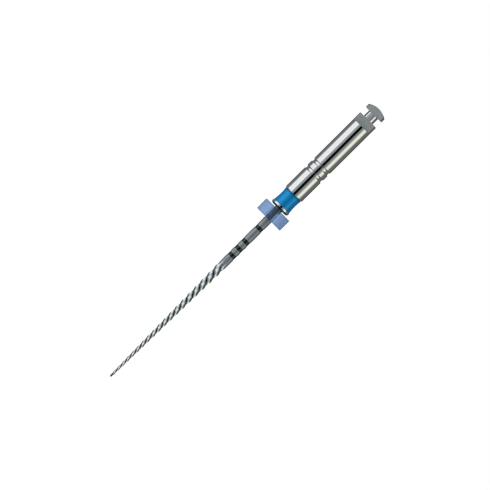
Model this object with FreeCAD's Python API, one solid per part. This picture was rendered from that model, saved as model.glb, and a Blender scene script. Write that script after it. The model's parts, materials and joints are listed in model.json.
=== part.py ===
"""Rotary endodontic file with a right-angle latch shank, built as separate solids.

Frame: millimetres, +Z up. The origin is the tip of the blade. The tool axis is Z, the
tip points down (-Z) and the latch head is at the top. "Front" means towards the tip,
"rear" towards the head. The drive flat faces -Y.

Pieces, from the tip upwards:
  file_blade        ground nickel-titanium wire: tip, flutes, plain shank, tang
  depth_mark_*_mm   black enamel bands lying in turned grooves of the shank
  silicone_stop     soft disc that slides along the shank
  front_collar      polished ferrule pressed on the front spigot of the handle
  id_ring           coloured size ring held between the collar and the handle barrel
  latch_handle      turned barrel with blind bore, two rolled grooves, drive flat,
                    latch neck and latch head
"""

import FreeCAD
import Part

import math
import os

# ------------------------------------------------------------------ blade sizes
TIP_D = 0.30            # diameter projected to the tip
TAPER = 0.04            # diameter gained per millimetre of length
TIP_END_R = 0.045       # radius of the flat left at the very end of the tip
TIP_LEN = 0.40          # length of the rounded guiding tip
TIP_EDGE_FADE = 0.55    # share of the guiding tip over which the edges grow from round
FLUTE_END = 15.85       # flutes begin to run out here
FLUTE_RUNOUT = 16.95    # section is fully round from here
EDGES = 3               # cutting edges; the side arc formula holds for three only
SIDE_RATIO = 0.76       # mid-side radius over edge radius
LEAD_TIP = 1.8843       # helix lead at the tip
LEAD_GROWTH = 0.08508   # lead gained per millimetre of length
HAND = 1                # -1: left-hand helix, +1: right-hand helix
EDGE_PHASE = 39.0       # angle of the first cutting edge at the tip, degrees

# sampling of the fluted surface
STEP_DEG = 12.0         # twist between two sections
SIDE_STEPS = 10         # steps across one side of a section
TIP_SECTIONS = (0.03, 0.08, 0.15, 0.25)     # extra sections, as shares of TIP_LEN
MIN_SECTION_GAP = 0.008
CAP_TOLERANCE = 1e-4    # how far an end edge may lie from its plane

SHANK_R = 0.475
SHANK_START = 16.98
SHANK_OVERLAP = 0.02    # fluted body reaches this far into the shank
FLUTED_MAX_R = SHANK_R - 0.003
TANG_END = 32.30
TANG_CHAMFER = 0.10

# ------------------------------------------------------------------ depth mark sizes
MARK_LABELS = (18, 19, 20, 22)  # nominal distance from the tip
MARK_OFFSET = 0.06      # middle of a band above its nominal distance
MARK_W = 0.43
MARK_R = 0.442          # outer radius of the enamel band
MARK_SEAT_R = 0.405     # bottom of the turned groove
LAND_CROWN = 0.20       # length of the crowned edge on each side of a mark

# ------------------------------------------------------------------ silicone stop sizes
STOP_Z = 23.42          # front face
STOP_T = 1.42
STOP_R = 1.70
STOP_BORE_R = SHANK_R + 0.015
STOP_EDGE = 0.05        # rounding of the rim
STOP_BORE_EDGE = 0.03   # rounding at the ends of the bore

# ------------------------------------------------------------------ handle sizes
HANDLE_FRONT = 24.96    # front face of the collar: the working length of the tool
JOINT_GAP = 0.01        # gap around the ring

SPIGOT_R = 0.850
SPIGOT_FRONT = HANDLE_FRONT + 0.03
SPIGOT_EDGE = 0.05      # rounding of the spigot's front edge

COLLAR_R = 1.155        # crest of the rounded collar
COLLAR_REAR_R = 1.130   # where it meets the ring
COLLAR_REAR = HANDLE_FRONT + 0.406
COLLAR_ROUND = 0.275    # rounding of the front shoulder
COLLAR_CHAMFER = 0.015  # at the front of its bore

BARREL_R = 2.35 / 2
BARREL_FRONT = 27.14
BARREL_REAR = 38.19
BARREL_EDGE = 0.10      # rounding of the barrel's front edge
BARREL_REAR_EDGE = 0.04

RING_FRONT = COLLAR_REAR + JOINT_GAP
RING_REAR = BARREL_FRONT - JOINT_GAP
RING_BORE_R = SPIGOT_R + JOINT_GAP
RING_R_FRONT = 1.100
RING_R_MID = 1.030      # the ring is waisted
RING_R_REAR = 1.080
RING_CHAMFER = 0.03

# each rolled groove of the barrel presses a rib of the bore into a groove of the tang
GROOVE_Z = (30.18, 31.19)
GROOVE_W = 0.45
GROOVE_WALL = 0.12      # length of each sloping wall along the axis
GROOVE_D = 0.125
GROOVE_LIP = 0.02       # rounding where a wall meets the barrel
RIB_W = 0.20
RIB_WALL = 0.05         # length of each sloping wall along the axis
RIB_R = 0.445
TANG_GROOVE_R = 0.430
TANG_GROOVE_W = RIB_W + 2 * 0.03
TANG_GROOVE_WALL = 0.03

BORE_R = SHANK_R + 0.01
BORE_END = TANG_END + 0.10
BORE_POINT = 32.62      # tip of the conical bottom
BORE_CHAMFER = 0.06

NECK_R = 0.66
NECK_FILLET_FRONT = 0.04
NECK_FILLET_REAR = 0.05
HEAD_FRONT = 38.98
HEAD_R = 1.165
HEAD_FRONT_EDGE = 0.11  # rounding of the head's front edge
HEAD_DOME_EDGE = 0.12   # rounding between the side of the head and the dome
HEAD_SIDE_END = 39.46   # where the unrounded side of the head would meet the dome
TOP_Z = 39.85
FLAT_FRONT = 37.19      # drive flat runs from here to the top
FLAT_DISTANCE = 0.58    # distance of the drive flat from the axis
FLAT_CUTTER = (4.0, 2.0, 4.0)   # x, y, z size of the box that cuts the flat


# ------------------------------------------------------------------ turned profiles
# A profile is a list of segments with points as (radius, z): two points make a line,
# three points (start, middle, end) make an arc.
def polyline(points):
    """Line segments through the points."""
    return list(zip(points, points[1:]))


def corner_arc(before, corner, after, rounding):
    """Arc that rounds a corner, given the points before and after it."""
    before, corner, after = [FreeCAD.Vector(p[0], 0, p[1]) for p in (before, corner, after)]
    to_before = (before - corner).normalize()
    to_after = (after - corner).normalize()
    half = to_before.getAngle(to_after) / 2.0
    setback = rounding / math.tan(half)
    inward = (to_before + to_after).normalize()
    centre = corner + inward * (rounding / math.sin(half))
    arc = (
        corner + to_before * setback,
        centre - inward * rounding,
        corner + to_after * setback,
    )
    return tuple((p.x, p.z) for p in arc)


def rounded_path(points, closed=False):
    """Segments through (radius, z, corner radius) points; an open path has sharp ends."""
    count = len(points)
    corners = []
    for i, (radius, z, rounding) in enumerate(points):
        if rounding > 0:
            after = points[(i + 1) % count]
            corners.append(corner_arc(points[i - 1], points[i], after, rounding))
        else:
            corners.append(((radius, z),))
    segments = []
    for i, corner in enumerate(corners):
        if len(corner) == 3:
            segments.append(corner)
        if i == count - 1 and not closed:
            break
        start, end = corner[-1], corners[(i + 1) % count][0]
        # neighbouring arcs may touch and leave no line between them
        if math.dist(start, end) > 1e-6:
            segments.append((start, end))
    return segments


def crown_arc(crest, end):
    """Arc that leaves the crest parallel to the axis and falls to the end point."""
    run, drop = end[1] - crest[1], crest[0] - end[0]
    radius = (run ** 2 + drop ** 2) / (2.0 * drop)
    half = 0.5 * math.asin(run / radius)
    middle = (crest[0] - radius + radius * math.cos(half), crest[1] + radius * math.sin(half))
    return crest, middle, end


def turned(segments):
    """Solid of revolution about Z from a closed profile."""
    edges = []
    for segment in segments:
        points = [FreeCAD.Vector(radius, 0, z) for radius, z in segment]
        is_line = len(points) == 2
        edges.append(Part.makeLine(*points) if is_line else Part.Arc(*points).toShape())
    face = Part.Face(Part.Wire(edges))
    return outward(face.revolve(FreeCAD.Vector(0, 0, 0), FreeCAD.Vector(0, 0, 1), 360))


def outward(solid):
    """The solid with its faces turned outwards."""
    if solid.Volume < 0:
        solid.reverse()
    return solid


def unwrapped(shape):
    """The one solid inside a boolean result."""
    return shape.Solids[0] if len(shape.Solids) == 1 else shape


# ------------------------------------------------------------------ blade
def smooth(x):
    """Ease from 0 to 1, flat at both ends."""
    x = min(1.0, max(0.0, x))
    return x * x * (3.0 - 2.0 * x)


def edge_radius(z):
    """Distance of the cutting edges from the axis."""
    radius = min(TIP_D / 2.0 + TAPER / 2.0 * z, FLUTED_MAX_R)
    if z < TIP_LEN:
        share = (TIP_END_R / (TIP_D / 2.0)) ** 2
        radius *= math.sqrt(1.0 - (1.0 - share) * ((TIP_LEN - z) / TIP_LEN) ** 2)
    return radius


def twist(z):
    """Turn of the section about the axis, radians, for a lead that grows linearly."""
    return 2.0 * math.pi * math.log(1.0 + LEAD_GROWTH * z / LEAD_TIP) / LEAD_GROWTH


def z_of_twist(angle):
    """Inverse of twist."""
    return (math.exp(angle * LEAD_GROWTH / (2.0 * math.pi)) - 1.0) * LEAD_TIP / LEAD_GROWTH


def side_arc(angle):
    """Radius of a convex side at an angle from its middle, for an edge radius of 1."""
    # the side is a circle centred on the line from the axis to its middle
    centre = (SIDE_RATIO ** 2 - 1.0) / (2.0 * SIDE_RATIO - 1.0)
    radius = SIDE_RATIO - centre
    reach = math.sqrt(radius * radius - (centre * math.sin(angle)) ** 2)
    return centre * math.cos(angle) + reach


def section_radius(angle, z):
    """Radius of the section at an angle from the middle of a side."""
    side = side_arc(angle)
    # the section is round at the very end of the tip and where the flutes have run out
    runout = smooth((z - FLUTE_END) / (FLUTE_RUNOUT - FLUTE_END))
    roundness = max(runout, 1.0 - smooth(z / (TIP_EDGE_FADE * TIP_LEN)))
    return edge_radius(z) * (side + (1.0 - side) * roundness)


def section_heights(z_top):
    """Heights of the sections: even steps of twist, with more where the tip rounds off."""
    top_twist = twist(z_top)
    rows = math.ceil(math.degrees(top_twist) / STEP_DEG)
    candidates = {z_of_twist(top_twist * i / rows) for i in range(rows + 1)}
    candidates |= {TIP_LEN * share for share in TIP_SECTIONS}
    first, *others = sorted(candidates)
    heights = [first]
    for z in others:
        if z - heights[-1] > MIN_SECTION_GAP:
            heights.append(z)
    heights[-1] = z_top
    return heights


def side_surface(index, heights):
    """Surface of one twisted side, between two cutting edges."""
    half = math.pi / EDGES
    grid = []
    for z in heights:
        middle = math.radians(EDGE_PHASE) + HAND * twist(z) + 2.0 * half * index + half
        row = []
        for j in range(SIDE_STEPS + 1):
            angle = -half + 2.0 * half * j / SIDE_STEPS
            radius = section_radius(angle, z)
            x = radius * math.cos(middle + angle)
            y = radius * math.sin(middle + angle)
            row.append(FreeCAD.Vector(x, y, z))
        grid.append(row)
    surface = Part.BSplineSurface()
    surface.interpolate(grid)
    return surface.toShape()


def end_cap(sides, z):
    """Flat face bounded by the edges of the sides that lie at height z."""
    edges = []
    for side in sides:
        for edge in side.Edges:
            box = edge.BoundBox
            if abs(box.ZMin - z) < CAP_TOLERANCE and abs(box.ZMax - z) < CAP_TOLERANCE:
                edges.append(edge)
    return Part.Face(Part.Wire(Part.__sortEdges__(edges)))


def fluted_body():
    heights = section_heights(SHANK_START + SHANK_OVERLAP)
    sides = [side_surface(k, heights) for k in range(EDGES)]
    caps = [end_cap(sides, z) for z in (heights[0], heights[-1])]
    shell = Part.Shell(sides + caps)
    shell.sewShape()
    return outward(Part.makeSolid(shell.Shells[0]))


def mark_span(label):
    """Front and rear heights of a depth mark."""
    z = label + MARK_OFFSET
    return z - MARK_W / 2.0, z + MARK_W / 2.0


def shank_body():
    """Plain shank with grooves for the depth marks, and the tang with its two grooves."""
    segments = []
    start = [(0.0, SHANK_START), (SHANK_R, SHANK_START)]
    for label in MARK_LABELS:
        front, rear = mark_span(label)
        front_crest = (SHANK_R, front - LAND_CROWN)
        rear_crest = (SHANK_R, rear + LAND_CROWN)
        seat = [(MARK_R, front), (MARK_SEAT_R, front), (MARK_SEAT_R, rear), (MARK_R, rear)]
        segments += polyline(start + [front_crest])
        segments.append(crown_arc(front_crest, seat[0]))
        segments += polyline(seat)
        segments.append(crown_arc(rear_crest, seat[-1])[::-1])
        start = [rear_crest]
    tang = start
    for z in GROOVE_Z:
        front, rear = z - TANG_GROOVE_W / 2.0, z + TANG_GROOVE_W / 2.0
        tang += [
            (SHANK_R, front),
            (TANG_GROOVE_R, front + TANG_GROOVE_WALL),
            (TANG_GROOVE_R, rear - TANG_GROOVE_WALL),
            (SHANK_R, rear),
        ]
    tang += [
        (SHANK_R, TANG_END - TANG_CHAMFER),
        (SHANK_R - TANG_CHAMFER, TANG_END),
        (0.0, TANG_END),
        (0.0, SHANK_START),
    ]
    return turned(segments + polyline(tang))


def file_blade():
    return unwrapped(fluted_body().fuse(shank_body()))


# ------------------------------------------------------------------ bands, stop, collar, ring
def depth_mark(label):
    front, rear = mark_span(label)
    return turned(rounded_path([
        (MARK_SEAT_R, front, 0),
        (MARK_R, front, 0),
        (MARK_R, rear, 0),
        (MARK_SEAT_R, rear, 0),
    ], closed=True))


def silicone_stop():
    front, rear = STOP_Z, STOP_Z + STOP_T
    return turned(rounded_path([
        (STOP_BORE_R, front, STOP_BORE_EDGE),
        (STOP_R, front, STOP_EDGE),
        (STOP_R, rear, STOP_EDGE),
        (STOP_BORE_R, rear, STOP_BORE_EDGE),
    ], closed=True))


def front_collar():
    """Tyre-shaped ferrule: flat front, rounded shoulder, crowned side falling to the ring."""
    shoulder_r = COLLAR_R - COLLAR_ROUND
    crest_z = HANDLE_FRONT + COLLAR_ROUND
    diagonal = math.sqrt(0.5) * COLLAR_ROUND
    face_end = (shoulder_r, HANDLE_FRONT)
    bore_start = (SPIGOT_R + COLLAR_CHAMFER, HANDLE_FRONT)
    crest = (COLLAR_R, crest_z)
    rear = (COLLAR_REAR_R, COLLAR_REAR)
    return turned([
        (bore_start, face_end),
        (face_end, (shoulder_r + diagonal, crest_z - diagonal), crest),
        crown_arc(crest, rear),
    ] + polyline([
        rear,
        (SPIGOT_R, COLLAR_REAR),
        (SPIGOT_R, HANDLE_FRONT + COLLAR_CHAMFER),
        bore_start,
    ]))


def id_ring():
    """Waisted ring, one shallow arc between two small chamfers."""
    front = (RING_R_FRONT, RING_FRONT + RING_CHAMFER)
    waist = (RING_R_MID, 0.5 * (RING_FRONT + RING_REAR))
    rear = (RING_R_REAR, RING_REAR - RING_CHAMFER)
    bore_front = (RING_BORE_R, RING_FRONT)
    return turned(
        polyline([bore_front, (RING_R_FRONT - RING_CHAMFER, RING_FRONT), front])
        + [(front, waist, rear)]
        + polyline([
            rear,
            (RING_R_REAR - RING_CHAMFER, RING_REAR),
            (RING_BORE_R, RING_REAR),
            bore_front,
        ])
    )


# ------------------------------------------------------------------ handle
def head_dome():
    """Two arcs: the rounded edge of the head, then the dome up to the axis."""
    sag = TOP_Z - HEAD_SIDE_END
    dome_r = (HEAD_R ** 2 + sag ** 2) / (2.0 * sag)
    dome_z = TOP_Z - dome_r
    # the edge arc touches both the side and the dome from inside
    edge_r = HEAD_R - HEAD_DOME_EDGE
    edge_z = dome_z + math.sqrt((dome_r - HEAD_DOME_EDGE) ** 2 - edge_r ** 2)
    join = math.atan2(edge_z - dome_z, edge_r)

    def on_edge(angle):
        return (edge_r + HEAD_DOME_EDGE * math.cos(angle),
                edge_z + HEAD_DOME_EDGE * math.sin(angle))

    def on_dome(angle):
        return dome_r * math.cos(angle), dome_z + dome_r * math.sin(angle)

    return [
        ((HEAD_R, edge_z), on_edge(join / 2.0), on_dome(join)),
        (on_dome(join), on_dome((join + math.pi / 2.0) / 2.0), (0.0, TOP_Z)),
    ]


def handle_outside(side_end):
    """Outside of the handle, from the mouth of the bore to the end of the head's side."""
    points = [
        (BORE_R + BORE_CHAMFER, SPIGOT_FRONT, 0),
        (SPIGOT_R, SPIGOT_FRONT, SPIGOT_EDGE),
        (SPIGOT_R, BARREL_FRONT, 0),
        (BARREL_R, BARREL_FRONT, BARREL_EDGE),
    ]
    # the rounding at the foot of each wall reaches mid-groove, so the floor is round
    half_w = GROOVE_W / 2.0
    wall_angle = math.atan2(GROOVE_D, GROOVE_WALL)
    floor_round = (half_w - GROOVE_WALL) / math.tan(wall_angle / 2.0)
    for z in GROOVE_Z:
        points += [
            (BARREL_R, z - half_w, GROOVE_LIP),
            (BARREL_R - GROOVE_D, z - half_w + GROOVE_WALL, floor_round),
            (BARREL_R - GROOVE_D, z + half_w - GROOVE_WALL, floor_round),
            (BARREL_R, z + half_w, GROOVE_LIP),
        ]
    points += [
        (BARREL_R, BARREL_REAR, BARREL_REAR_EDGE),
        (NECK_R, BARREL_REAR, NECK_FILLET_FRONT),
        (NECK_R, HEAD_FRONT, NECK_FILLET_REAR),
        (HEAD_R, HEAD_FRONT, HEAD_FRONT_EDGE),
        (*side_end, 0),
    ]
    return rounded_path(points)


def handle_bore():
    """Down the axis from the top, then along the ribbed bore to its mouth."""
    points = [(0.0, TOP_Z), (0.0, BORE_POINT), (BORE_R, BORE_END)]
    for z in reversed(GROOVE_Z):
        front, rear = z - RIB_W / 2.0, z + RIB_W / 2.0
        points += [
            (BORE_R, rear),
            (RIB_R, rear - RIB_WALL),
            (RIB_R, front + RIB_WALL),
            (BORE_R, front),
        ]
    points += [
        (BORE_R, SPIGOT_FRONT + BORE_CHAMFER),
        (BORE_R + BORE_CHAMFER, SPIGOT_FRONT),
    ]
    return polyline(points)


def latch_handle():
    dome = head_dome()
    side_end = dome[0][0]
    body = turned(handle_outside(side_end) + dome + handle_bore())
    width, depth, height = FLAT_CUTTER
    corner = FreeCAD.Vector(-width / 2, -depth - FLAT_DISTANCE, FLAT_FRONT)
    return unwrapped(body.cut(Part.makeBox(width, depth, height, corner)))


# ------------------------------------------------------------------ export
def main():
    os.makedirs("parts", exist_ok=True)
    nodes = {
        "file_blade": file_blade(),
        "silicone_stop": silicone_stop(),
        "front_collar": front_collar(),
        "id_ring": id_ring(),
        "latch_handle": latch_handle(),
    }
    for label in MARK_LABELS:
        nodes[f"depth_mark_{label}_mm"] = depth_mark(label)
    for name, shape in nodes.items():
        shape.exportStep(f"parts/{name}.step")


main()
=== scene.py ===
"""A slender fluted file on a latch-type handle: blade, depth bands, silicone stop, collar,
blue ring and plated handle with a milled drive flat.

The tool stands on the Z axis, tip down and head up, and its drive flat faces -Y.
"Front" is the tip end (low Z) and "rear" the head end (high Z).
Sizes are in mm unless noted, and MM turns them into metres.
"""
import json
import math

import bmesh
import bpy
import numpy as np
from mathutils import Matrix, Vector


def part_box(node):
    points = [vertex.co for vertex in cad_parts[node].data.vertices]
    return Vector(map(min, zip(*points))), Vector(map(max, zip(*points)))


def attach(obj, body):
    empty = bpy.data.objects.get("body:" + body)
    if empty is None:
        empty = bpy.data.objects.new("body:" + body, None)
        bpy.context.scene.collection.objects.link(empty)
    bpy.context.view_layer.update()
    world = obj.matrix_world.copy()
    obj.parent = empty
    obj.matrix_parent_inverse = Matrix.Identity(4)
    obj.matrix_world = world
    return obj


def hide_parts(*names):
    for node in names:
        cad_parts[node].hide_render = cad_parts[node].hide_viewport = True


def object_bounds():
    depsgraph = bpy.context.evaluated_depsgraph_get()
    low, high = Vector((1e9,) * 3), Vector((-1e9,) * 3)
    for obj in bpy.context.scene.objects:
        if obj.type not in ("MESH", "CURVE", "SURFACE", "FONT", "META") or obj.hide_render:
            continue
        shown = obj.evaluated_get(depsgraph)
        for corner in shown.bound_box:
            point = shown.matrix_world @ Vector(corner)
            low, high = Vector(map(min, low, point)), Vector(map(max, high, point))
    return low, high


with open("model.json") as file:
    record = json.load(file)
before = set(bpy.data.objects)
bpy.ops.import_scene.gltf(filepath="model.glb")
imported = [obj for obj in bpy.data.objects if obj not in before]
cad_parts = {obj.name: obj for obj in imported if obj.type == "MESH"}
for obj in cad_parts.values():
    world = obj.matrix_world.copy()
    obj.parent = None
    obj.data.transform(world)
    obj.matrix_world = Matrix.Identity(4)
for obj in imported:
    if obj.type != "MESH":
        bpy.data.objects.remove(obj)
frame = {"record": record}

CAD_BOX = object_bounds()
MM = 0.001
record = frame["record"]
mounts = {mount["name"]: mount for mount in record["mounts"]}


# ---------------------------------------------------------------- sizes read from the frame
def span(node):
    low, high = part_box(node)
    return low / MM, high / MM


blade_lo, blade_hi = span("file_blade")
handle_lo, handle_hi = span("latch_handle")
collar_lo, collar_hi = span("front_collar")
ring_lo, ring_hi = span("id_ring")
stop_lo, stop_hi = span("silicone_stop")
MARKS = ["depth_mark_18_mm", "depth_mark_19_mm", "depth_mark_20_mm", "depth_mark_22_mm"]

SHANK_R = blade_hi.x
TIP_Z = blade_lo.z
TANG_END = blade_hi.z
BARREL_R = mounts["latch_shank"]["dims"]["r_mm"]
NECK_R = mounts["latch_groove"]["dims"]["r_mm"]
neck_mid = mounts["latch_groove"]["pos_m"][2] / MM
neck_half = mounts["latch_groove"]["dims"]["length_mm"] / 2
BARREL_REAR, HEAD_FRONT = neck_mid - neck_half, neck_mid + neck_half
FLAT_DEPTH = -mounts["drive_flat"]["pos_m"][1] / MM  # from the axis to the flat, towards -Y
TOP_Z = handle_hi.z
SPIGOT_FRONT = handle_lo.z
BARREL_FRONT = ring_hi.z + 0.01
FLAT_FRONT = TOP_Z - 2.66
HEAD_R = BARREL_R - 0.01
SPIGOT_R = 0.85  # the thin front of the handle, inside collar and ring
BORE_R = 0.485
GROOVES = (BARREL_REAR - 8.01, BARREL_REAR - 7.00)  # z of the two rounded barrel grooves
BAND_SEAT_R = 0.405  # floor of the shank grooves that hold the depth bands

# the camera stands a little to the +X side of the drive flat's normal
VIEW_AZ = math.radians(7.0)
SIDE_DIR = (math.cos(VIEW_AZ), math.sin(VIEW_AZ), 0.0)
TO_CAMERA = (math.sin(VIEW_AZ), -math.cos(VIEW_AZ), 0.0)


# ---------------------------------------------------------------- mesh helpers
def fillet(points, step=10.0):
    """Corner list (r, z[, fillet radius]) to an open polyline whose corners are rounded."""
    out = []
    for i, point in enumerate(points):
        radius = point[2] if len(point) > 2 else 0.0
        if radius <= 0 or i in (0, len(points) - 1):
            out.append((point[0], point[1]))
            continue
        corner = np.array(point[:2], float)
        before = np.array(points[i - 1][:2], float) - corner
        after = np.array(points[i + 1][:2], float) - corner
        before, after = before / np.linalg.norm(before), after / np.linalg.norm(after)
        half = math.acos(max(-1, min(1, float(before @ after)))) / 2
        bisector = (before + after) / np.linalg.norm(before + after)
        centre = corner + bisector * (radius / math.sin(half))
        tangent = radius / math.tan(half)
        start = corner + before * tangent - centre
        end = corner + after * tangent - centre
        first, last = math.atan2(start[1], start[0]), math.atan2(end[1], end[0])
        sweep = (last - first + math.pi) % (2 * math.pi) - math.pi
        count = max(3, int(abs(math.degrees(sweep)) / step) + 1)
        for j in range(count + 1):
            angle = first + sweep * j / count
            out.append((centre[0] + radius * math.cos(angle), centre[1] + radius * math.sin(angle)))
    return out


def arc_through(start, middle, end, count):
    """count + 1 points on the arc from start to end through middle."""
    (ax, ay), (bx, by), (cx, cy) = start, middle, end
    a_sq, b_sq, c_sq = ax * ax + ay * ay, bx * bx + by * by, cx * cx + cy * cy
    det = 2 * (ax * (by - cy) + bx * (cy - ay) + cx * (ay - by))
    x = (a_sq * (by - cy) + b_sq * (cy - ay) + c_sq * (ay - by)) / det
    y = (a_sq * (cx - bx) + b_sq * (ax - cx) + c_sq * (bx - ax)) / det
    radius = math.hypot(ax - x, ay - y)
    first, last = math.atan2(ay - y, ax - x), math.atan2(cy - y, cx - x)
    sweep = (last - first + math.pi) % (2 * math.pi) - math.pi
    angles = [first + sweep * j / count for j in range(count + 1)]
    return [(x + radius * math.cos(a), y + radius * math.sin(a)) for a in angles]


def clean(path, closed, longest):
    """Drops doubled points and cuts long straight runs into shorter ones."""
    def gap(p, q):
        return math.hypot(q[0] - p[0], q[1] - p[1])

    kept = []
    for p in path:
        if not kept or gap(kept[-1], p) > 1e-5:
            kept.append(p)
    if closed and gap(kept[-1], kept[0]) < 1e-5:
        kept.pop()
    out = []
    for i in range(len(kept) if closed else len(kept) - 1):
        p, q = kept[i], kept[(i + 1) % len(kept)]
        count = max(1, int(math.ceil(gap(p, q) / longest)))
        for j in range(count):
            out.append((p[0] + (q[0] - p[0]) * j / count, p[1] + (q[1] - p[1]) * j / count))
    if not closed:
        out.append(kept[-1])
    return out


def finish_mesh(mesh, sharp_deg):
    """Outward normals, smooth faces, and sharp edges only where the surface really turns."""
    bm = bmesh.new()
    bm.from_mesh(mesh)
    bmesh.ops.remove_doubles(bm, verts=bm.verts, dist=2e-8)
    bmesh.ops.recalc_face_normals(bm, faces=bm.faces)
    limit = math.radians(sharp_deg)
    for face in bm.faces:
        face.smooth = True
    for edge in bm.edges:
        edge.smooth = not (len(edge.link_faces) == 2 and edge.calc_face_angle(0.0) > limit)
    bm.to_mesh(mesh)
    bm.free()
    mesh.update()


def link(name, data):
    ob = bpy.data.objects.new(name, data)
    bpy.context.scene.collection.objects.link(ob)
    return ob


def loop(radius, angles, z):
    """One loop of vertices about Z; radius is a number or one value per angle."""
    height = np.full(len(angles), z)
    return np.stack([radius * np.cos(angles), radius * np.sin(angles), height], 1) * MM


def pole(z):
    return np.array([[0, 0, z * MM]])


def skin(name, loops, closed, sharp_deg):
    """Joins each loop to the next. A loop of one vertex is a pole; closed joins last to first."""
    cols = max(len(ring_verts) for ring_verts in loops)
    starts, total = [], 0
    for ring_verts in loops:
        starts.append((total, len(ring_verts)))
        total += len(ring_verts)
    pairs = list(zip(starts[:-1], starts[1:]))
    if closed:
        pairs.append((starts[-1], starts[0]))
    faces = []
    for (a, a_count), (b, b_count) in pairs:
        if a_count == b_count == 1:
            continue
        for j in range(cols):
            k = (j + 1) % cols
            if a_count == 1:
                faces.append((a, b + j, b + k))
            elif b_count == 1:
                faces.append((a + j, b, a + k))
            else:
                faces.append((a + j, b + j, b + k, a + k))
    mesh = bpy.data.meshes.new(name)
    mesh.from_pydata([tuple(v) for v in np.concatenate(loops)], [], faces)
    finish_mesh(mesh, sharp_deg)
    return link(name, mesh)


def lathe(name, path, seg, longest, sharp_deg):
    """A turned solid about Z from a closed profile of (r, z)."""
    angles = np.linspace(0, 2 * math.pi, seg, endpoint=False)
    profile = clean(path, True, longest)
    loops = [pole(z) if r < 1e-6 else loop(r, angles, z) for r, z in profile]
    return skin(name, loops, True, sharp_deg)


# ---------------------------------------------------------------- blade: flutes, shank, tang
TIP_R, TAPER_R = 0.15, 0.02  # edge radius at the tip, and its growth per mm
TIP_LEN, TIP_FLAT_R = 0.40, 0.045  # rounded nose
NOSE_EDGE = 0.03
LEAD, GROWTH, PHASE = 1.8843, 0.08508, math.radians(39.0)  # helix pitch at the tip, its growth
RUN_START, RUN_END, SHANK_FRONT = 15.85, 16.95, 16.98  # flutes run out into the round shank
FIRST_STATIONS = [0.004, 0.010, 0.018, 0.028, 0.045, 0.07, 0.10]
STATION_STEP = 0.034
BLADE_COLS = 120
CROWN = 0.20  # length of the fall of the shank towards each depth band
TANG_GROOVE_R = 0.43
TANG_CHAMFER = 0.10

# cross-section with an edge radius of 1: three convex sides, each SIDE_R from the axis at its middle
SIDE_R = 0.76
ARC_CENTRE = (SIDE_R * SIDE_R - 1) / (2 * SIDE_R - 1)
ARC_R = SIDE_R - ARC_CENTRE


def ease(x):
    x = min(1.0, max(0.0, x))
    return x * x * (3 - 2 * x)


def twist(z):
    return 2 * math.pi * math.log(1 + GROWTH * z / LEAD) / GROWTH


def edge_radius(z):
    r = min(TIP_R + TAPER_R * z, SHANK_R - 0.003)
    if z < TIP_LEN:
        r *= math.sqrt(1 - (1 - (TIP_FLAT_R / TIP_R) ** 2) * ((TIP_LEN - z) / TIP_LEN) ** 2)
    if z < NOSE_EDGE:
        r *= math.sqrt(max(0.0, 1 - ((NOSE_EDGE - z) / NOSE_EDGE) ** 2))
    return r


def shank_profile():
    """Plain shank with crowned lands either side of each depth band, then the grooved tang."""
    path = [(SHANK_R - 0.002, SHANK_FRONT + 0.004), (SHANK_R, SHANK_FRONT + 0.03)]
    for node in MARKS:
        lo, hi = span(node)
        drop = SHANK_R - hi.x
        rho = (CROWN ** 2 + drop ** 2) / (2 * drop)
        fall = [  # (radius, distance from the band)
            (SHANK_R - rho + math.sqrt(rho * rho - (CROWN * q) ** 2), CROWN * (1 - q))
            for q in np.linspace(0, 1, 9)
        ]
        path += [(r, lo.z - away) for r, away in fall]
        path += [(BAND_SEAT_R, lo.z), (BAND_SEAT_R, hi.z)]
        path += [(r, hi.z + away) for r, away in reversed(fall)]
    path.append((SHANK_R, stop_lo.z))
    for z in GROOVES:
        path += [(SHANK_R, z - 0.13), (TANG_GROOVE_R, z - 0.10)]
        path += [(TANG_GROOVE_R, z + 0.10), (SHANK_R, z + 0.13)]
    path += [(SHANK_R, TANG_END - TANG_CHAMFER), (SHANK_R - TANG_CHAMFER, TANG_END)]
    return clean(path, False, 0.30)


def blade():
    stations = list(FIRST_STATIONS)
    while stations[-1] < SHANK_FRONT - 0.03:
        stations.append(stations[-1] + STATION_STEP)
    stations[-1] = SHANK_FRONT
    third, cols = 2 * math.pi / 3, BLADE_COLS // 3
    column = np.arange(BLADE_COLS)
    local = -math.pi / 3 + third * (column % cols) / cols
    side = (column // cols) * third + math.pi / 3
    reach = np.sqrt(ARC_R * ARC_R - (ARC_CENTRE * np.sin(local)) ** 2)
    section = ARC_CENTRE * np.cos(local) + reach
    loops = [pole(TIP_Z)]
    for z in stations:
        run_out = ease((z - RUN_START) / (RUN_END - RUN_START))
        roundness = max(run_out, 1 - ease(z / (0.55 * TIP_LEN)))
        radius = edge_radius(z) * (section + (1 - section) * roundness)
        loops.append(loop(radius, PHASE + twist(z) + side + local, z + TIP_Z))
    shank_angles = PHASE + twist(SHANK_FRONT) + side + local
    loops += [loop(r, shank_angles, z) for r, z in shank_profile()]
    loops.append(pole(TANG_END))
    return skin("file_blade_ground", loops, False, 26.0)


def depth_band(node):
    """A thin ring whose face bulges a little between the walls of its groove."""
    lo, hi = span(node)
    r, edge, shoulder = hi.x, 0.004, 0.012
    path = [(BAND_SEAT_R, lo.z), (r - shoulder, lo.z)]
    path += arc_through(
        (r - edge, lo.z + edge), (r, (lo.z + hi.z) / 2), (r - edge, hi.z - edge), 14)
    path += [(r - shoulder, hi.z), (BAND_SEAT_R, hi.z)]
    return lathe(node + "_enamel", path, seg=128, longest=0.05, sharp_deg=45)


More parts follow.
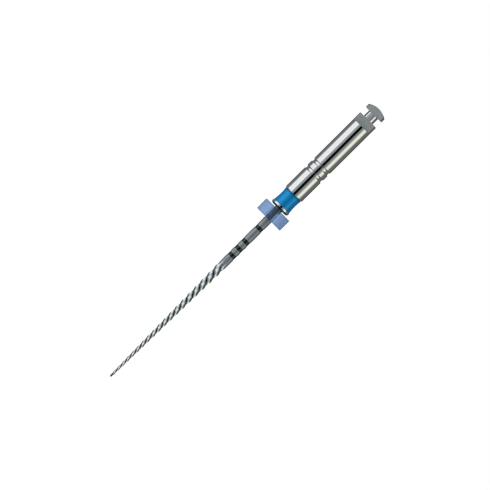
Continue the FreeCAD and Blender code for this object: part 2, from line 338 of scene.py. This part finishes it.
# ---------------------------------------------------------------- stop, collar, ring
def stop():
    """Disc with a slightly barrelled rim, faces that dip a little round the hole, soft edges."""
    z0, z1, r = stop_lo.z, stop_hi.z, stop_hi.x
    bore, edge, bulge = 0.49, 0.055, 0.01
    half = [  # (radius, inset from the cut face), from the hole outwards
        (bore, 0.045), (bore + 0.010, 0.022), (bore + 0.035, 0.012), (bore + 0.30, 0.004),
        (1.1, 0.0), (r - edge - bulge, 0.0),
    ]
    half += [
        (r - edge + edge * math.sin(a) - bulge, edge - edge * math.cos(a))
        for a in np.radians([15, 30, 45, 60, 75])
    ]
    path = [(radius, z0 + inset) for radius, inset in half]
    path += arc_through((r - bulge, z0 + edge), (r, (z0 + z1) / 2), (r - bulge, z1 - edge), 14)
    path += [(radius, z1 - inset) for radius, inset in reversed(half)]
    return lathe("silicone_stop_disc", path, seg=160, longest=0.12, sharp_deg=60)


def collar():
    """Round nose at the front, then a long arc that narrows to the rear."""
    z0, z1, crest = collar_lo.z, collar_hi.z, collar_hi.x
    rear_r, nose = 1.13, 0.275
    nose_r, crest_z = crest - nose, z0 + nose
    path = [(SPIGOT_R, z0 + 0.015), (SPIGOT_R + 0.015, z0)]
    path += [
        (nose_r + nose * math.sin(a), crest_z - nose * math.cos(a))
        for a in np.radians(np.arange(0, 91, 7.5))
    ]
    drop, run = crest - rear_r, z1 - crest_z
    rho = (run ** 2 + drop ** 2) / (2 * drop)
    path += [
        (crest - rho + rho * math.cos(a), crest_z + rho * math.sin(a))
        for a in np.linspace(0, math.asin(run / rho), 12)[1:]
    ]
    path.append((SPIGOT_R, z1))
    return lathe("front_collar_ferrule", path, seg=192, longest=0.06, sharp_deg=40)


def ring():
    """Waisted band with softened lips."""
    z0, z1 = ring_lo.z, ring_hi.z
    front_r, waist_r, rear_r, lip = ring_hi.x, 1.03, 1.08, 0.03
    inner_r = SPIGOT_R + 0.01
    path = fillet([(inner_r, z0), (front_r - lip, z0, 0.008), (front_r, z0 + lip)])
    path += arc_through((front_r, z0 + lip), (waist_r, (z0 + z1) / 2), (rear_r, z1 - lip), 28)
    path += [(rear_r - lip * 0.4, z1 - lip * 0.25), (rear_r - lip, z1), (inner_r, z1)]
    return lathe("id_ring_band", path, seg=192, longest=0.12, sharp_deg=50)


# ---------------------------------------------------------------- handle
GROOVE_HALF, GROOVE_WALL, GROOVE_DEPTH = 0.45 / 2, 0.12, 0.125
GROOVE_LIP = 0.022
HEAD_DOME, HEAD_CORNER = 0.39, 0.12  # rise of the end dome, rounding of its edge
BORE_END, BORE_POINT = 32.40, 32.62  # end of the straight bore, tip of its cone
BORE_RIDGE_R = 0.445  # ridges in the bore that enter the tang's grooves
MOUTH = 0.06  # chamfer at the mouth of the bore


def outer_corners():
    """Outside of the handle as (r, z, corner radius), from the spigot to the head's side."""
    slope = math.atan2(GROOVE_DEPTH, GROOVE_WALL)
    floor_r = (GROOVE_HALF - GROOVE_WALL) / math.tan(slope / 2) * 0.999
    points = [
        (BORE_R + MOUTH, SPIGOT_FRONT), (SPIGOT_R, SPIGOT_FRONT, 0.05),
        (SPIGOT_R, BARREL_FRONT), (BARREL_R, BARREL_FRONT, 0.10),
    ]
    for z in GROOVES:
        points += [
            (BARREL_R, z - GROOVE_HALF, GROOVE_LIP),
            (BARREL_R - GROOVE_DEPTH, z - GROOVE_HALF + GROOVE_WALL, floor_r),
            (BARREL_R - GROOVE_DEPTH, z + GROOVE_HALF - GROOVE_WALL, floor_r),
            (BARREL_R, z + GROOVE_HALF, GROOVE_LIP),
        ]
    return points + [
        (BARREL_R, BARREL_REAR, 0.04), (NECK_R, BARREL_REAR, 0.04),
        (NECK_R, HEAD_FRONT, 0.05), (HEAD_R, HEAD_FRONT, 0.11), (HEAD_R, HEAD_FRONT + 0.2),
    ]


def handle_profile():
    path = fillet(outer_corners(), step=9.0)
    # domed end, blended into the side by a round corner
    rho = (HEAD_R ** 2 + HEAD_DOME ** 2) / (2 * HEAD_DOME)
    dome_z = TOP_Z - rho
    corner_r = HEAD_R - HEAD_CORNER
    corner_z = dome_z + math.sqrt((rho - HEAD_CORNER) ** 2 - corner_r ** 2)
    meet = math.atan2(corner_z - dome_z, corner_r)
    path = [p for p in path if p[1] < corner_z]
    path += [
        (corner_r + HEAD_CORNER * math.cos(a), corner_z + HEAD_CORNER * math.sin(a))
        for a in np.linspace(0, meet, 10)
    ]
    path += [
        (rho * math.cos(a), dome_z + rho * math.sin(a))
        for a in np.linspace(meet, math.pi / 2, 22)[1:-1]
    ]
    # down the axis through the solid end, then out along the bore to its mouth
    path += [(0.0, TOP_Z), (0.0, BORE_POINT), (BORE_R, BORE_END)]
    for z in reversed(GROOVES):
        path += [(BORE_R, z + 0.10), (BORE_RIDGE_R, z + 0.05)]
        path += [(BORE_RIDGE_R, z - 0.05), (BORE_R, z - 0.10)]
    path.append((BORE_R, SPIGOT_FRONT + MOUTH))
    return path


def mill_flat(ob):
    """Cuts the drive flat into the -Y side of the head."""
    bm = bmesh.new()
    bmesh.ops.create_cube(bm, size=1.0)
    block = bpy.data.meshes.new("mill")
    for v in bm.verts:
        x, y, z = v.co
        v.co = Vector((x * 4, y * 2 - 1 - FLAT_DEPTH, z * 4 + 2 + FLAT_FRONT)) * MM
    bm.to_mesh(block)
    bm.free()
    tool = link("mill", block)
    cut = ob.modifiers.new("flat", "BOOLEAN")
    cut.operation = "DIFFERENCE"
    cut.object = tool
    cut.solver = "EXACT"
    bpy.context.view_layer.update()
    depsgraph = bpy.context.evaluated_depsgraph_get()
    mesh = bpy.data.meshes.new_from_object(ob.evaluated_get(depsgraph))
    ob.modifiers.clear()
    ob.data = mesh
    bpy.data.objects.remove(tool)
    finish_mesh(mesh, 30.0)
    mesh.name = ob.name


def handle():
    ob = lathe("latch_handle_turned", handle_profile(), seg=240, longest=0.25, sharp_deg=30.0)
    mill_flat(ob)
    return ob


# ---------------------------------------------------------------- node helpers
class Nodes:
    """Short hand for building a node tree."""

    def __init__(self, tree):
        self.tree = tree

    def put(self, socket, value):
        """Links a socket, or sets a value; None leaves the default."""
        if isinstance(value, bpy.types.NodeSocket):
            self.tree.links.new(value, socket)
        elif value is not None:
            socket.default_value = (*value, 1.0) if socket.type == "RGBA" else value

    def new(self, kind, inputs=None):
        node = self.tree.nodes.new(kind)
        for key, value in (inputs or {}).items():
            self.put(node.inputs[key], value)
        return node

    def math(self, op, a, b=None, clamp=False):
        node = self.tree.nodes.new("ShaderNodeMath")
        node.operation = op
        node.use_clamp = clamp
        self.put(node.inputs[0], a)
        self.put(node.inputs[1], b)
        return node.outputs[0]

    def add(self, a, b):
        return self.math("ADD", a, b)

    def multiply(self, a, b):
        return self.math("MULTIPLY", a, b)

    def vec(self, op, a, b):
        node = self.tree.nodes.new("ShaderNodeVectorMath")
        node.operation = op
        self.put(node.inputs[0], a)
        self.put(node.inputs["Scale" if op == "SCALE" else 1], b)
        return node.outputs["Value" if op == "DOT_PRODUCT" else "Vector"]

    def xyz(self, vector):
        return tuple(self.new("ShaderNodeSeparateXYZ", {0: vector}).outputs)

    def join(self, x, y, z):
        return self.new("ShaderNodeCombineXYZ", {0: x, 1: y, 2: z}).outputs[0]

    def radius(self, x, y):
        return self.math("SQRT", self.add(self.multiply(x, x), self.multiply(y, y)))

    def ramp(self, factor, stops):
        """Linear colour ramp from (position, colour) stops."""
        node = self.tree.nodes.new("ShaderNodeValToRGB")
        elements = node.color_ramp.elements
        while len(elements) > 1:
            elements.remove(elements[-1])
        for i, (position, colour) in enumerate(stops):
            element = elements[0] if i == 0 else elements.new(position)
            element.position = position
            element.color = (*colour, 1.0)
        self.put(node.inputs[0], factor)
        return node.outputs[0]

    def mix(self, factor, a, b, blend="MIX"):
        node = self.tree.nodes.new("ShaderNodeMix")
        node.data_type = "RGBA"
        node.blend_type = blend
        self.put(node.inputs[0], factor)
        self.put(node.inputs[6], a)
        self.put(node.inputs[7], b)
        return node.outputs[2]

    def tint(self, colour, towards, mask, amount):
        """Moves a colour part of the way to another where the mask is 1."""
        return self.mix(self.multiply(mask, amount), colour, towards)

    def remap(self, value, source, target=(0.0, 1.0)):
        inputs = dict(enumerate((value, *source, *target)))
        return self.new("ShaderNodeMapRange", inputs).outputs[0]

    def spread(self, noise, low, high):
        """Stretches the usual range of a noise to low..high."""
        return self.remap(noise, source=(0.3, 0.7), target=(low, high))

    def noise(self, vector, scale, detail=3.0, rough=0.5, distort=0.0):
        return self.new("ShaderNodeTexNoise", {
            "Vector": vector, "Scale": scale, "Detail": detail,
            "Roughness": rough, "Distortion": distort,
        }).outputs[0]

    def turned_noise(self, angle, z, around, along, seed, scale=1.0, detail=3.0, rough=0.6):
        """Noise wrapped round the Z axis, with its own density around it and along it."""
        vector = self.join(self.multiply(angle, around), seed, self.multiply(z, along))
        return self.noise(vector, scale, detail, rough)

    def bump(self, height, depth_mm, strength=1.0, normal=None):
        return self.new("ShaderNodeBump", {
            "Height": height, "Distance": depth_mm * MM, "Strength": strength, "Normal": normal,
        }).outputs[0]

    def edge_wear(self, source=(0.52, 0.62)):
        """1 on convex edges, 0 on open surface."""
        geometry = self.new("ShaderNodeNewGeometry")
        return self.remap(geometry.outputs["Pointiness"], source=source)

    def surface(self, **values):
        """Sets inputs of the Principled shader; underscores stand for spaces."""
        shader = next(node for node in self.tree.nodes if node.type == "BSDF_PRINCIPLED")
        for key, value in values.items():
            self.put(shader.inputs[key.replace("_", " ")], value)


def material(name):
    """A new material, its nodes, and the object-space position in mm."""
    mat = bpy.data.materials.new(name)
    mat.use_nodes = True
    n = Nodes(mat.node_tree)
    return mat, n, n.vec("SCALE", n.new("ShaderNodeTexCoord").outputs["Object"], 1000.0)


# ---------------------------------------------------------------- materials
def plated(name, base, rough, seed, painted_shade_front=None):
    """Polished plating: faint turning lines, drawn streaks, haze patches, softened edges."""
    mat, n, pos = material(name)
    x, y, z = n.xyz(pos)
    angle = n.math("ARCTAN2", y, x)
    turning = n.turned_noise(angle, z, around=0.35, along=26.0, seed=seed, rough=0.65)
    bands = n.turned_noise(
        angle, z, around=0.6, along=2.2, seed=seed + 4.0, detail=2.0, rough=0.5)
    scuff = n.turned_noise(
        angle, z, around=9.0, along=1.1, seed=seed + 9.0, scale=2.0, detail=4.0)
    haze = n.noise(
        n.vec("ADD", pos, (seed, 3.1, 7.7)), scale=1.3, detail=4.0, rough=0.55, distort=0.4)
    wear = n.edge_wear()
    tone = n.add(n.spread(bands, low=0.965, high=1.02), n.spread(turning, low=-0.015, high=0.015))
    colour = n.vec("SCALE", base, tone)
    colour = n.tint(colour, towards=(0.93, 0.92, 0.90), mask=wear, amount=0.35)
    if painted_shade_front is not None:
        # painted shade: the front shoulder round the shank is darkened where it mirrors dark
        # surroundings, with a ragged limit
        limit = n.add(z, n.spread(scuff, low=-0.02, high=0.02))
        bright = n.remap(limit, source=(painted_shade_front + 0.13, painted_shade_front + 0.22))
        colour = n.mix(bright, n.vec("MULTIPLY", colour, (0.60, 0.62, 0.60)), colour)
    roughness = n.add(
        n.remap(haze, source=(0.35, 0.75), target=(rough, rough + 0.05)),
        n.remap(scuff, source=(0.60, 0.75), target=(0.0, 0.05)))
    roughness = n.add(roughness, n.multiply(wear, 0.10))  # worn edges are rougher
    normal = n.bump(turning, depth_mm=0.00045)
    normal = n.bump(scuff, depth_mm=0.0003, strength=0.6, normal=normal)
    n.surface(Base_Color=colour, Metallic=1.0, Roughness=roughness, Normal=normal)
    return mat


def milled(name):
    """Satin milled flat with fine cross lines."""
    mat, n, pos = material(name)
    x, y, z = n.xyz(pos)
    # dense along z and slow along x, so the lines run across the tool
    across = n.join(n.multiply(x, 1.2), y, n.multiply(z, 34.0))
    lines = n.noise(across, scale=1.0, rough=0.6)
    grain = n.noise(pos, scale=14.0, detail=5.0, rough=0.65)
    patch = n.noise(pos, scale=1.6)
    tone = n.add(n.spread(patch, low=0.97, high=1.03), n.spread(grain, low=-0.01, high=0.01))
    colour = n.vec("SCALE", (0.495, 0.527, 0.545), tone)
    wear = n.edge_wear(source=(0.53, 0.65))
    colour = n.tint(colour, towards=(0.68, 0.68, 0.68), mask=wear, amount=0.3)
    normal = n.bump(lines, depth_mm=0.0006)
    normal = n.bump(grain, depth_mm=0.0006, strength=0.7, normal=normal)
    roughness = n.spread(grain, low=0.48, high=0.56)
    n.surface(Base_Color=colour, Metallic=0.85, Roughness=roughness, Normal=normal)
    return mat


def ground(name):
    """Ground alloy: lines that follow the flutes, bright lands over flute floors with painted shade,
    duller plain shank, painted light and shade on the shank seen through the stop.
    """
    mat, n, pos = material(name)
    x, y, z = n.xyz(pos)
    angle = n.math("ARCTAN2", y, x)
    on_shank = n.remap(z, source=(RUN_START + 0.35, RUN_END + 0.1))
    # in the flutes the lines lie along the helix, on the shank they run round it
    helix = n.math("SUBTRACT", n.multiply(angle, 0.30), n.multiply(z, 0.62))
    flute_pos = n.join(n.multiply(helix, 18.0), n.multiply(z, 1.4), 0.0)
    flute_lines = n.noise(flute_pos, scale=1.0, detail=4.0, rough=0.62)
    shank_lines = n.turned_noise(angle, z, around=0.5, along=30.0, seed=3.0)
    lines = n.add(
        n.multiply(flute_lines, n.math("SUBTRACT", 1.0, on_shank)),
        n.multiply(shank_lines, on_shank))
    patch = n.noise(pos, scale=2.4, detail=4.0, rough=0.55, distort=0.3)
    wear = n.edge_wear(source=(0.54, 0.66))
    tone = n.add(n.spread(patch, low=0.94, high=1.05), n.spread(lines, low=-0.05, high=0.05))

    flute_colour, shank_colour = (0.74, 0.785, 0.84), (0.325, 0.370, 0.400)
    base = n.mix(on_shank, flute_colour, shank_colour)
    # the nose of the tip is dull
    base = n.vec("SCALE", base, n.remap(z, source=(0.12, 0.55), target=(0.30, 1.0)))
    # painted shade: the floor of the flutes is darker than their edges
    edge = n.add(TIP_R, n.multiply(z, TAPER_R))
    depth = n.math("DIVIDE", n.radius(x, y), edge)
    depth = n.add(depth, n.spread(flute_lines, low=-0.012, high=0.012))
    flute_floor_painted_shade = n.remap(depth, source=(0.775, 0.835), target=(0.66, 1.0))
    base = n.vec("SCALE", base, n.math("MAXIMUM", flute_floor_painted_shade, on_shank))
    # painted light and shade: seen through the stop, the shank is painted dark in the middle and
    # bright on its flanks, where they catch the light
    across = n.vec("DOT_PRODUCT", n.new("ShaderNodeNewGeometry").outputs["Normal"], SIDE_DIR)
    flank = n.math(
        "MAXIMUM", n.remap(across, source=(0.26, 0.46)), n.remap(across, source=(-0.84, -0.96)))
    dull, lit = (0.02, 0.03, 0.02), (0.95, 0.97, 0.93)
    through_stop_painted_light = n.mix(flank, dull, lit)
    transmitted = n.new("ShaderNodeLightPath").outputs["Is Transmission Ray"]
    base = n.mix(n.multiply(transmitted, on_shank), base, through_stop_painted_light)

    colour = n.vec("SCALE", base, tone)
    colour = n.tint(colour, towards=(0.80, 0.82, 0.84), mask=wear, amount=0.25)
    flute_rough, shank_rough = (0.10, 0.10, 0.10), (0.50, 0.50, 0.50)
    rough = n.xyz(n.mix(on_shank, flute_rough, shank_rough))[0]
    n.surface(
        Base_Color=colour,
        Metallic=n.remap(on_shank, source=(0.0, 1.0), target=(1.0, 0.86)),
        Roughness=n.add(rough, n.spread(patch, low=-0.02, high=0.03)),
        Normal=n.bump(lines, depth_mm=0.0005),
    )
    return mat


def enamel(name):
    """Black enamel: deep, glossy, with slow ripple and a few dull specks."""
    mat, n, pos = material(name)
    ripple = n.noise(pos, scale=6.0)
    specks = n.noise(pos, scale=40.0, detail=2.0)
    black, speck = (0.0004, 0.0004, 0.0006), (0.004, 0.004, 0.005)
    n.surface(
        Base_Color=n.mix(n.remap(specks, source=(0.55, 0.75)), black, speck),
        Roughness=n.remap(specks, source=(0.4, 0.75), target=(0.02, 0.06)),
        IOR=1.68,
        Normal=n.bump(ripple, depth_mm=0.0005),
    )
    return mat


def dyed(name):
    """Blue dyed ring: clouded satin body colour, fine turned lines, scuffed lips."""
    mat, n, pos = material(name)
    x, y, z = n.xyz(pos)
    angle = n.math("ARCTAN2", y, x)
    cloud = n.noise(pos, scale=2.2, detail=4.0, rough=0.55, distort=0.4)
    lines = n.turned_noise(angle, z, around=0.5, along=20.0, seed=2.0)
    fine = n.noise(pos, scale=30.0, rough=0.6)
    wear = n.edge_wear(source=(0.52, 0.60))
    deep, light, speck = (0.000, 0.215, 0.535), (0.001, 0.245, 0.565), (0.004, 0.28, 0.60)
    body = n.mix(n.spread(cloud, low=0.0, high=1.0), deep, light)
    body = n.mix(n.remap(fine, source=(0.45, 0.8), target=(0.0, 0.2)), body, speck)
    body = n.tint(body, towards=(0.06, 0.33, 0.62), mask=wear, amount=0.25)
    # painted shade: darker towards the joint with the barrel
    limit = n.add(z, n.spread(cloud, low=-0.03, high=0.03))
    joint_painted_shade = n.remap(limit, source=(ring_hi.z - 0.26, ring_hi.z - 0.08), target=(0.0, 0.72))
    joint_shade_colour = (0.000, 0.075, 0.190)
    body = n.mix(joint_painted_shade, body, joint_shade_colour)
    normal = n.bump(lines, depth_mm=0.0010)
    normal = n.bump(fine, depth_mm=0.0006, strength=0.6, normal=normal)
    roughness = n.spread(cloud, low=0.16, high=0.22)
    n.surface(Base_Color=body, Metallic=0.42, Roughness=roughness, IOR=1.5, Normal=normal)
    return mat


def silicone(name):
    """Translucent blue silicone with a slightly matt surface."""
    mat, n, pos = material(name)
    x, y, z = n.xyz(pos)
    cloud = n.noise(pos, scale=1.5, detail=4.0, rough=0.55, distort=0.5)
    grain = n.noise(pos, scale=9.0, detail=4.0, rough=0.55)
    radius = n.radius(x, y)
    rim = n.remap(radius, source=(1.55, 1.70))
    body = n.remap(radius, source=(0.500, 0.515))  # 0 on the wall of the hole, which is clear
    deep, light = (0.247, 0.410, 0.705), (0.280, 0.448, 0.745)
    colour = n.mix(n.spread(cloud, low=0.0, high=1.0), deep, light)
    # painted shade: the colour is darker towards the rim
    colour = n.tint(colour, towards=(0.20, 0.32, 0.60), mask=rim, amount=0.18)
    # painted shade: darker and greyer towards the two cut faces
    inset = n.math(
        "MINIMUM", n.math("SUBTRACT", z, stop_lo.z), n.math("SUBTRACT", stop_hi.z, z))
    face_shade_colour, clear = (0.13, 0.21, 0.34), (1.0, 1.0, 1.0)
    face_painted_shade = n.remap(inset, source=(0.03, 0.17), target=(0.55, 0.0))
    colour = n.mix(face_painted_shade, colour, face_shade_colour)
    colour = n.mix(body, clear, colour)
    # mirrored in the collar, the rear 0.3 mm of the disc is in its own shade
    backfacing = n.new("ShaderNodeNewGeometry").outputs["Backfacing"]
    rear_outside = n.multiply(
        n.math("SUBTRACT", 1.0, backfacing), n.math("GREATER_THAN", z, stop_hi.z - 0.3))
    mirrored = n.multiply(n.new("ShaderNodeLightPath").outputs["Is Glossy Ray"], rear_outside)
    shade = (0.030, 0.046, 0.062)
    n.surface(
        Base_Color=n.mix(mirrored, colour, shade),
        Roughness=n.spread(grain, low=0.06, high=0.11),
        IOR=1.41,
        Transmission_Weight=n.remap(body, source=(0.0, 1.0), target=(1.0, 0.88)),
        Normal=n.bump(grain, depth_mm=0.0004, strength=0.8),
    )
    return mat


# ---------------------------------------------------------------- build the pieces
BODY = {node: body for body, nodes in record["behaviour"]["bodies"].items() for node in nodes}


def place(ob, node, *mats):
    for mat in mats:
        ob.data.materials.append(mat)
    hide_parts(node)
    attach(ob, BODY[node])


barrel_plate = plated("plated_barrel", base=(0.86, 0.86, 0.855), rough=0.055, seed=0.0)
flat_finish = milled("milled_flat")
handle_ob = handle()
place(handle_ob, "latch_handle", barrel_plate, flat_finish)
for poly in handle_ob.data.polygons:
    middle = poly.center / MM
    on_flat = abs(middle.y + FLAT_DEPTH) < 1e-3 and poly.normal.y < -0.99
    poly.material_index = 1 if middle.z > FLAT_FRONT and on_flat else 0

# the collar's front shoulder gets painted shade
collar_plate = plated(
    "plated_collar", base=(0.88, 0.88, 0.88), rough=0.05, seed=20.0, painted_shade_front=collar_lo.z)
place(collar(), "front_collar", collar_plate)
place(ring(), "id_ring", dyed("dyed_ring"))
place(stop(), "silicone_stop", silicone("silicone"))
place(blade(), "file_blade", ground("ground_alloy"))
band_paint = enamel("black_enamel")
for node in MARKS:
    place(depth_band(node), node, band_paint)


# ---------------------------------------------------------------- studio
def floor():
    """Round pale table top just under the tip, left out of reflections."""
    seg, radii = 96, [0.002, 0.006, 0.02, 0.06, 0.2, 0.6, 1.5]  # radii in metres
    z = (TIP_Z - 0.02) * MM
    angles = [2 * math.pi * j / seg for j in range(seg)]
    verts = [(0, 0, z)] + [(r * math.cos(a), r * math.sin(a), z) for r in radii for a in angles]
    faces = [(0, 1 + j, 1 + (j + 1) % seg) for j in range(seg)]
    for i in range(len(radii) - 1):
        a, b = 1 + i * seg, 1 + (i + 1) * seg
        faces += [(a + j, b + j, b + (j + 1) % seg, a + (j + 1) % seg) for j in range(seg)]
    mesh = bpy.data.meshes.new("floor")
    mesh.from_pydata(verts, [], faces)
    ob = link("floor", mesh)
    mat, n, pos = material("pale_floor")
    grey, pale = (0.90, 0.90, 0.90), (0.93, 0.93, 0.93)
    n.surface(
        Base_Color=n.mix(n.noise(pos, scale=0.02), grey, pale),
        Roughness=0.9,
        Emission_Color=(1, 1, 1),
        Emission_Strength=0.48,
    )
    mesh.materials.append(mat)
    ob.visible_glossy = False
    ob.visible_transmission = False


floor()

# what polished metal mirrors: two long soft boxes left and right of the camera with dark gaps
# (degrees about Z from the camera, positive towards +X; colour)
STRIPES = [
    (-180, (0.62, 0.63, 0.64)), (-170, (0.50, 0.51, 0.52)), (-164, (0.140, 0.147, 0.153)),
    (-104, (0.165, 0.172, 0.180)), (-100, (0.17, 0.18, 0.19)), (-93, (0.52, 0.53, 0.54)),
    (-86, (0.76, 0.77, 0.78)), (-77, (1.03, 1.04, 1.05)), (-60, (0.90, 0.915, 0.93)),
    (-49, (1.00, 1.015, 1.03)), (-40, (0.97, 0.99, 1.01)), (-34, (0.50, 0.53, 0.545)),
    (-29, (0.32, 0.345, 0.355)), (-15, (0.29, 0.32, 0.335)), (-11, (0.16, 0.175, 0.185)),
    (-7.5, (0.002, 0.002, 0.002)), (13, (0.002, 0.002, 0.002)), (18, (0.17, 0.185, 0.19)),
    (22, (0.25, 0.265, 0.27)), (32, (0.24, 0.25, 0.245)), (38, (0.36, 0.37, 0.345)),
    (43.5, (0.68, 0.695, 0.63)), (52, (0.86, 0.88, 0.78)), (62, (0.96, 0.98, 0.85)),
    (69, (0.90, 0.92, 0.79)), (78, (0.50, 0.515, 0.43)), (87, (0.22, 0.225, 0.19)),
    (94, (0.145, 0.148, 0.125)), (118, (0.145, 0.147, 0.138)), (164, (0.070, 0.072, 0.071)),
    (170, (0.50, 0.51, 0.50)), (180, (0.62, 0.63, 0.64)),
]
# (degrees above the horizon, brightness of the stripes)
FADE = [
    (-90, 0.05), (-68, 0.10), (-56, 0.62), (-40, 1.0), (40, 1.0), (56, 0.60), (68, 0.08), (90, 0.05),
]
KEY_DIR = Vector((-0.72, -0.60, 0.34)).normalized()
WHITE = (1.0, 1.0, 1.0)


def build_world():
    """White to the camera, stripes to reflections, a soft lobe to diffuse light."""
    world = bpy.data.worlds.new("studio")
    bpy.context.scene.world = world
    world.use_nodes = True
    world.node_tree.nodes.clear()
    n = Nodes(world.node_tree)
    direction = n.new("ShaderNodeTexCoord").outputs["Generated"]
    sideways = n.vec("DOT_PRODUCT", direction, SIDE_DIR)
    toward = n.vec("DOT_PRODUCT", direction, TO_CAMERA)

    azimuth = n.math("DIVIDE", n.math("ARCTAN2", sideways, toward), 2 * math.pi)
    stripes = n.ramp(
        n.math("ADD", azimuth, 0.5, clamp=True), [((a + 180) / 360, c) for a, c in STRIPES])
    elevation = n.math("DIVIDE", n.math("ARCSINE", n.xyz(direction)[2]), math.pi)
    height = n.ramp(
        n.math("ADD", elevation, 0.5, clamp=True), [((e + 90) / 180, (v, v, v)) for e, v in FADE])
    mirror = n.mix(1.0, stripes, height, "MULTIPLY")

    lobe_power, lobe_gain, base_light = 2.0, 1.2, 0.38
    facing_key = n.remap(n.vec("DOT_PRODUCT", direction, tuple(KEY_DIR)), source=(0.0, 1.0))
    lobe = n.math("POWER", facing_key, lobe_power)
    soft_light = n.vec("SCALE", WHITE, n.add(n.multiply(lobe, lobe_gain), base_light))

    # seen through the stop: plain behind the tool, stripes on the camera's side
    behind = n.vec("SCALE", WHITE, n.remap(sideways, source=(-0.5, 0.3), target=(0.66, 0.90)))
    behind = n.mix(n.remap(toward, source=(-0.25, 0.25)), behind, mirror)

    rays = n.new("ShaderNodeLightPath").outputs
    seen = n.mix(rays["Is Glossy Ray"], soft_light, mirror)
    seen = n.mix(rays["Is Transmission Ray"], seen, behind)
    seen = n.mix(rays["Is Camera Ray"], seen, WHITE)
    background = n.new("ShaderNodeBackground", {"Color": seen, "Strength": 1.0})
    n.new("ShaderNodeOutputWorld", {"Surface": background.outputs[0]})
    world.cycles.sampling_method = "NONE"


build_world()


def lamp(name, offset, size, watts):
    """Area light aimed at the middle of the tool; offset and size in metres."""
    data = bpy.data.lights.new(name, "AREA")
    data.shape = "RECTANGLE"
    data.size = size
    data.size_y = size * 1.4
    data.energy = watts
    ob = bpy.data.objects.new(name, data)
    target = Vector((0, 0, TOP_Z * MM / 2))
    ob.location = target + Vector(offset)
    ob.rotation_mode = "QUATERNION"
    ob.rotation_quaternion = (target - ob.location).to_track_quat("-Z", "Y")
    ob.visible_glossy = False
    bpy.context.scene.collection.objects.link(ob)


lamp("key_softbox", offset=(-0.44, -0.36, 0.20), size=0.22, watts=0.42)
lamp("fill_softbox", offset=(0.30, -0.42, 0.18), size=0.30, watts=0.08)

# ---------------------------------------------------------------- camera
VIEW_WIDTH = 51.45 * MM * (TOP_Z / 39.85)  # 51.45 mm wide for a tool 39.85 mm tall
LENS, SENSOR = 400.0, 36.0
AXIS_RIGHT, AXIS_UP = 0.70931256, 0.7048941  # the tool's axis rises to the upper right
AIM_SIDE, AIM_DROP = 0.187, 0.153  # aim point from the middle of the tool

camera_data = bpy.data.cameras.new("camera")
camera_data.lens = LENS
camera_data.sensor_width = SENSOR
camera_data.clip_start = 0.01
camera_data.clip_end = 10.0
camera = link("camera", camera_data)
swing = Matrix.Rotation(VIEW_AZ, 3, "Z")
right = swing @ Vector((AXIS_UP, 0, AXIS_RIGHT))
up = swing @ Vector((-AXIS_RIGHT, 0, AXIS_UP))
backward = right.cross(up)
centre = (CAD_BOX[0] + CAD_BOX[1]) / 2
aim = swing @ Vector((AIM_SIDE * MM, 0, 0)) + Vector((0, 0, centre.z - AIM_DROP * MM))
camera.location = aim + backward * (VIEW_WIDTH * LENS / SENSOR)
camera.rotation_mode = "QUATERNION"
camera.rotation_quaternion = Matrix((right, up, backward)).transposed().to_quaternion()
bpy.context.scene.camera = camera

view = bpy.context.scene.view_settings
view.view_transform = "Standard"
view.look = "None"
view.exposure = 0.0
view.gamma = 1.0
bpy.context.scene.cycles.filter_width = 1.2
